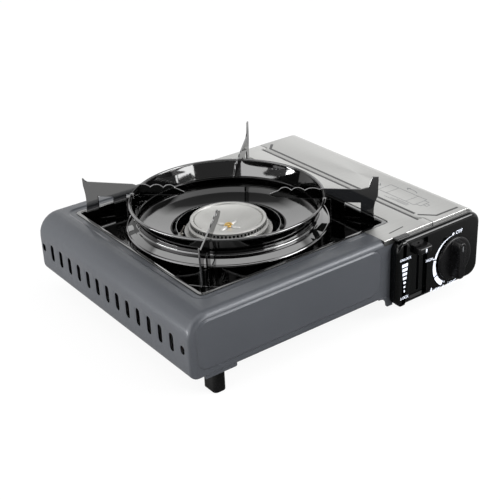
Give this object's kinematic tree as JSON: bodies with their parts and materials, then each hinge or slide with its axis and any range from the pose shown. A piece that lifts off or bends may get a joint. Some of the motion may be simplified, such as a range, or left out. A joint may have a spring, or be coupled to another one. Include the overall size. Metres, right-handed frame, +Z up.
{
  "type": "camping stove",
  "caption": "Portable gas stove: square drip tray and round wind guard with lift-off pan support, hinged lid over a cartridge bay, rotary knob and sliding lock lever.",
  "frame": {"origin": "on the ground under the middle of the stove's overall box", "axes": "+X to the right as seen from the control side, +Y to the rear, +Z up; the control panel faces -Y"},
  "size_m": [0.345, 0.295, 0.1329],
  "materials": {
    "grey_paint": "satin",
    "bright_steel": "satin",
    "zinc_steel": "satin",
    "cast_zinc": "matte",
    "brass": "satin",
    "copper_pipe": "satin",
    "burner_alloy": "matte",
    "ceramic": "satin",
    "lead_sleeve": "matte",
    "black_enamel": "gloss",
    "black_plastic": "satin"
  },
  "bodies": {
    "base": {"body_shell": "grey_paint", "centre_plate": "bright_steel", "hinge_pins": "zinc_steel", "bottom_plate": "zinc_steel", "bay_partition": "zinc_steel", "cartridge_cradle": "zinc_steel", "seat_plate": "zinc_steel", "regulator_body": "cast_zinc", "regulator_cap": "brass", "pipe_nut": "brass", "gas_pipe": "copper_pipe", "gas_jet": "brass", "jet_bracket": "zinc_steel", "mixing_tube": "burner_alloy", "burner_base": "burner_alloy", "burner_head": "burner_alloy", "burner_screw": "brass", "burner_bracket": "zinc_steel", "burner_bolts": "zinc_steel", "electrode_clip": "zinc_steel", "spark_electrode": "ceramic", "piezo_igniter": "black_plastic", "ignition_lead": "lead_sleeve", "lead_clips": "zinc_steel", "control_panel": "black_plastic", "panel_screws": "zinc_steel", "foot_screws": "zinc_steel", "foot_front_left": "black_plastic", "foot_rear_left": "black_plastic", "foot_front_right": "black_plastic", "foot_rear_right": "black_plastic"},
    "lid": {"cartridge_lid": "bright_steel"},
    "knob": {"control_knob": "black_plastic", "valve_spindle": "brass"},
    "lever": {"lock_lever": "black_plastic", "lever_slider": "zinc_steel"},
    "pusher": {"pusher_link": "zinc_steel", "pusher_plate": "zinc_steel"},
    "pan_support": {"drip_tray": "black_enamel", "windshield_ring": "black_enamel", "pan_support_front_left": "black_enamel", "pan_support_rear_left": "black_enamel", "pan_support_front_right": "black_enamel", "pan_support_rear_right": "black_enamel"}
  },
  "joints": [
    {"name": "lid_hinge", "type": "hinge", "parent": "base", "child": "lid", "pos_m": [0.1077, 0.01, 0.0843], "axis": [0, -1, 0], "range_deg": [0, 95]},
    {"name": "knob_turn", "type": "hinge", "parent": "base", "child": "knob", "pos_m": [0.1363, -0.1355, 0.0431], "axis": [0, -1, 0], "range_deg": [0, 180]},
    {"name": "lever_slide", "type": "slide", "parent": "base", "child": "lever", "axis": [0, 0, -1], "range_m": [0, 0.042]},
    {"name": "pusher_slide", "type": "slide", "parent": "base", "child": "pusher", "axis": [0, -1, 0], "range_m": [0, 0.008]},
    {"name": "pan_support_lift", "type": "slide", "parent": "base", "child": "pan_support", "axis": [0, 0, 1], "range_m": [0, 0.09]}
  ],
  "couplings": [
    {"joint": "pusher_slide", "follows": "lever_slide", "ratio": 0.19048}
  ]
}
